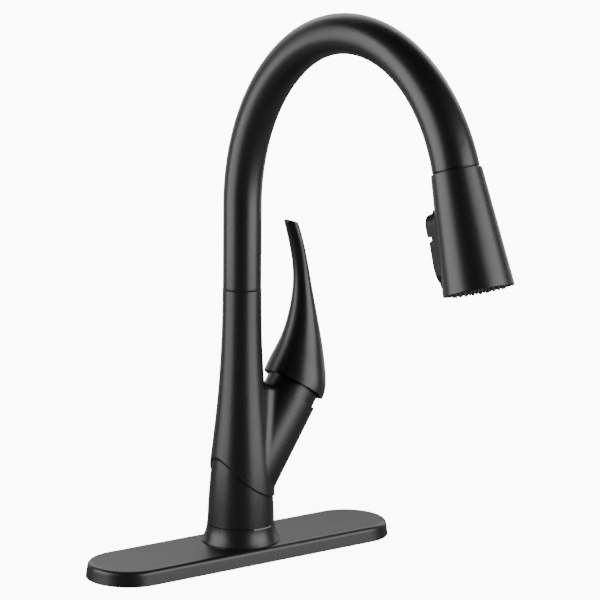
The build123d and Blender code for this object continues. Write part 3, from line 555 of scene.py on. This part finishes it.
def swept_tube(route, radius, segments=32):
    """A closed round tube drawn along a route of places and directions; millimetres."""
    made = bmesh.new()
    ring = bmesh.ops.create_circle(made, cap_ends=True, segments=segments, radius=radius * MM)["verts"]
    edges = made.edges[:]
    stand = Matrix()
    for number, (place, way) in enumerate(route):
        if number:
            grown = bmesh.ops.extrude_edge_only(made, edges=edges)["geom"]
            ring = [item for item in grown if isinstance(item, bmesh.types.BMVert)]
            edges = [item for item in grown if isinstance(item, bmesh.types.BMEdge) and item.is_boundary]
        side = Vector((1, 0, 0))
        step = Matrix((side, way.cross(side).normalized(), way)).transposed().to_4x4()
        step.translation = place * MM
        bmesh.ops.transform(made, matrix=step @ stand.inverted(), verts=ring)
        stand = step
    bmesh.ops.contextual_create(made, geom=edges)
    return made


def join(target, source, place=None):
    """Adds one bmesh to another, moved by a matrix if one is given."""
    spare = bpy.data.meshes.new("spare")
    source.to_mesh(spare)
    source.free()
    if place:
        spare.transform(place)
    target.from_mesh(spare)
    bpy.data.meshes.remove(spare)


# ---------------------------------------------------------------- spray face
NOZZLE_RINGS = ((9.8, 12), (13.4, 16), (17.2, 22))      # radius of each ring and its nozzles
MAT_THICKNESS = 1.2
AERATOR_BORE = 5.7
AERATOR_RADIUS = 7.25
SCREEN_RADIUS = 5.75
SCREEN_LIFT = 0.3               # above the aerator's back
SCREEN_THICKNESS = 0.3
GRID_PITCH = 0.86
GRID_ROWS = 6                   # bars on each side of the middle one
GRID_DEPTH = 0.85               # from the aerator's face to the middle of the bars
BAR_WIDTH = 0.2
BAR_HEIGHT = 1.1
KNURL_RADIUS = 6.5
KNURL_TEETH = 40
KNURL_LIFT = 0.05               # middle of the teeth above the aerator's face
TOOTH_SIZE = (0.9, 0.28, 0.25)

mat_back, nozzle_end, mat_bore, mat_rim = turned_size("nozzle_mat", flow, wand_top)
plate_face = turned_size("spray_plate", flow, wand_top)[1]
aerator_back, aerator_face = turned_size("aerator", flow, wand_top)[:2]


def add_nozzles():
    """Soft rubber nozzles: short cones with a rounded lip and an open jet, in three rings."""
    made = bmesh.new()
    outline = ((0.95, mat_back), (0.95, plate_face - 0.1), (0.93, plate_face + 0.5), (0.8, nozzle_end - 0.5),
               (0.72, nozzle_end - 0.15), (0.58, nozzle_end), (0.36, nozzle_end), (0.3, nozzle_end - 0.25),
               (0.28, nozzle_end - 1.6), (0.0, nozzle_end - 1.7))
    for radius, count in NOZZLE_RINGS:
        for x, y in sector_positions(radius, count):
            join(made, spun(outline, 20), Matrix.Translation((x * MM, y * MM, 0)))
    mat_front = mat_back + MAT_THICKNESS
    join(made, spun(((mat_bore, mat_back), (mat_rim, mat_back), (mat_rim, mat_front), (mat_bore, mat_front),
                     (mat_bore, mat_back)), 96))
    made.transform(along(flow, wand_top))
    piece = finished("spray_nozzles", made, rubber, "wand")
    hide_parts("nozzle_mat")


def add_aerator():
    """The middle outlet: a knurled ring round a fine square grid over a lower screen."""
    made = bmesh.new()
    join(made, spun(((AERATOR_BORE, aerator_back), (AERATOR_RADIUS, aerator_back),
                     (AERATOR_RADIUS, aerator_face - 0.3), (AERATOR_RADIUS - 0.2, aerator_face),
                     (AERATOR_BORE + 0.2, aerator_face), (AERATOR_BORE, aerator_face - 0.25),
                     (AERATOR_BORE, aerator_back)), 72))
    screen_back = aerator_back + SCREEN_LIFT
    screen_face = screen_back + SCREEN_THICKNESS
    join(made, spun(((0.0, screen_back), (SCREEN_RADIUS, screen_back), (SCREEN_RADIUS, screen_face),
                     (0.0, screen_face)), 48))
    for row in range(-GRID_ROWS, GRID_ROWS + 1):
        offset = row * GRID_PITCH
        length = 2 * math.sqrt(SCREEN_RADIUS ** 2 - offset ** 2)
        place = Matrix.Translation((0, offset * MM, (aerator_face - GRID_DEPTH) * MM))
        join(made, block(length, BAR_WIDTH, BAR_HEIGHT), place)
        join(made, block(length, BAR_WIDTH, BAR_HEIGHT * 0.98), Matrix.Rotation(math.pi / 2, 4, "Z") @ place)
    for x, y in sector_positions(KNURL_RADIUS, KNURL_TEETH):
        place = Matrix.Translation((x * MM, y * MM, (aerator_face + KNURL_LIFT) * MM))
        join(made, block(*TOOTH_SIZE), place @ Matrix.Rotation(math.atan2(y, x), 4, "Z"))
    made.transform(along(flow, wand_top))
    piece = finished("aerator_screen", made, aerator_plastic, "wand", crease=30.0)
    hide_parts("aerator")


add_nozzles()
add_aerator()

# ---------------------------------------------------------------- threads under the deck
SHANK_THREAD_DEPTH = 0.75
SHANK_THREAD_PITCH = 1.8
INLET_BORE = 3.0
INLET_THREAD_RADIUS = 7.14
INLET_THREAD_DEPTH = 0.54
INLET_THREAD_PITCH = 1.06
HEXAGON_REACH = 7.5             # from the middle to a flat
HEXAGON_HEIGHT = 7.0
HEXAGON_BEVEL = 0.45


def add_shank():
    """The threaded brass shank, from its lower end to the spigot of the body."""
    low, high, bore, crest = turned_size("mounting_shank")
    core = crest - SHANK_THREAD_DEPTH
    made = spun(((bore, low + 0.4), (bore + 0.3, low), (core - 0.45, low), (core, low + 0.6),
                 (core, high - 0.4), (core - 0.35, high), (bore + 0.3, high), (bore, high - 0.4),
                 (bore, low + 0.4)), 72)
    join(made, helix_thread(crest, SHANK_THREAD_DEPTH, SHANK_THREAD_PITCH, low + 0.7, high - 0.6, 48))
    piece = finished("shank_thread", made, brass_upright, "faucet_base", crease=25.0)
    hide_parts("mounting_shank")


def hexagon(low):
    """A bevelled hexagon about +Z that stands on a height; millimetres."""
    made = bmesh.new()
    corner_reach = HEXAGON_REACH / math.cos(math.pi / 6)
    bmesh.ops.create_circle(made, cap_ends=True, segments=6, radius=corner_reach * MM)
    grown = bmesh.ops.extrude_face_region(made, geom=made.faces[:])["geom"]
    raised = [item for item in grown if isinstance(item, bmesh.types.BMVert)]
    bmesh.ops.translate(made, verts=raised, vec=(0, 0, HEXAGON_HEIGHT * MM))
    bmesh.ops.recalc_face_normals(made, faces=made.faces[:])
    bmesh.ops.bevel(made, geom=made.edges[:], offset=HEXAGON_BEVEL * MM, segments=2, profile=0.5,
                    affect="EDGES", material=-1)
    made.transform(Matrix.Translation((0, 0, low * MM)))
    return made


def add_inlet_ends():
    """The two supply ends: a bevelled hexagon over a fine compression thread."""
    made = bmesh.new()
    box_low, box_high = (Vector(corner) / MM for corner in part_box("inlet_fittings"))
    low, neck = box_low.z, box_high.z - HEXAGON_HEIGHT
    middle = (box_low.x + box_high.x) / 2
    apart = box_high.y - HEXAGON_REACH
    core = INLET_THREAD_RADIUS - INLET_THREAD_DEPTH
    for side in (-apart, apart):
        place = Matrix.Translation((middle * MM, side * MM, 0))
        join(made, hexagon(neck), place)
        join(made, spun(((INLET_BORE, neck), (INLET_BORE, low + 0.4), (INLET_BORE + 0.4, low),
                         (core - 0.4, low), (core, low + 0.5), (core, neck)), 48), place)
        join(made, helix_thread(INLET_THREAD_RADIUS, INLET_THREAD_DEPTH, INLET_THREAD_PITCH, low + 0.3,
                                neck - 0.2), place)
    piece = finished("supply_ends", made, brass_upright, "faucet_base", crease=25.0)
    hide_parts("inlet_fittings")


add_shank()
add_inlet_ends()

# ---------------------------------------------------------------- spray hose
HOSE_RADIUS = 6.2
STRAIGHT_RUN = 60.4             # of the spout, above its lower end
SPOUT_ARCS = ((141.0, 55.0), (121.6, 55.0), (115.5, 51.6))      # radius in millimetres, sweep in degrees
DOCK_GAP = 1.1                  # between the outlet and the wand's top
HOSE_END = 13.8                 # below the wand's top
SLIDING_LENGTH = 22.0           # the part above the wand's top that slides out of the outlet
ARC_STEPS = 22
SLIDING_STEPS = 140


def arc_place(start, radius, first, angle):
    """Where an arc gets to that leaves start at the angle first and has turned to another angle."""
    return start + radius * Vector((0, math.cos(angle) - math.cos(first), math.sin(angle) - math.sin(first)))


def hose_route():
    """Centre line of the hose from the foot of the spout's bend to its end in the wand.

    It gives places in millimetres with their directions, which are close together at the end.
    """
    bend = []
    start = Vector((0, 0, spout_foot + STRAIGHT_RUN))
    turned = 0.0
    for radius, degrees in SPOUT_ARCS:
        sweep = math.radians(degrees)
        for number in range(ARC_STEPS):
            angle = turned + sweep * number / ARC_STEPS
            way = Vector((0, -math.sin(angle), math.cos(angle)))
            bend.append((arc_place(start, radius, turned, angle), way))
        start = arc_place(start, radius, turned, turned + sweep)
        turned += sweep
    end = wand_top / MM
    route = [(place, way) for place, way in bend if (place - end).dot(flow) < -SLIDING_LENGTH]
    inward = Vector((0, -flow.z, flow.y))
    last_radius = SPOUT_ARCS[-1][0]
    for number in range(SLIDING_STEPS + 1):
        reach = number * (HOSE_END + SLIDING_LENGTH) / SLIDING_STEPS - SLIDING_LENGTH
        back = min(0.0, reach + DOCK_GAP)
        sag = last_radius - math.sqrt(last_radius ** 2 - back ** 2)
        route.append((end + flow * reach + inward * sag, flow))
    return route


def add_spray_hose():
    """The braided hose in the spout's bend, run on past the outlet into the wand, with the length that would
    slide out; the piece itself stays fixed.
    """
    made = swept_tube(hose_route(), HOSE_RADIUS)
    piece = finished("braided_hose", made, outlet_braid, None, crease=60.0)
    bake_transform(piece)
    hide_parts("spray_hose")


add_spray_hose()


# ---------------------------------------------------------------- stage
def add_floor():
    """A round pale floor at the height of the deck, white to the eye and soft in reflections."""
    made = bmesh.new()
    bmesh.ops.create_circle(made, cap_ends=True, segments=96, radius=FLOOR_RADIUS)
    bmesh.ops.translate(made, verts=made.verts[:], vec=(0, 0, -FLOOR_DROP))
    finish = Finish("pale_floor", 0.8)
    cloud = finish.noise(1.5, 2.0, 0.5)
    finish.feed("Base Color", finish.blend(cloud, grey(0.17), grey(0.21)))
    glow = finish.node("ShaderNodeEmission", None, {"Color": WHITE, "Strength": WHITE_LEVEL})
    surface = Signal(finish, finish.shader.outputs[0])
    finish.split_view(surface, glow, FLOOR_WHITENESS, "Material Output")
    floor = finished("floor", made, finish, None, smooth=False)


add_floor()
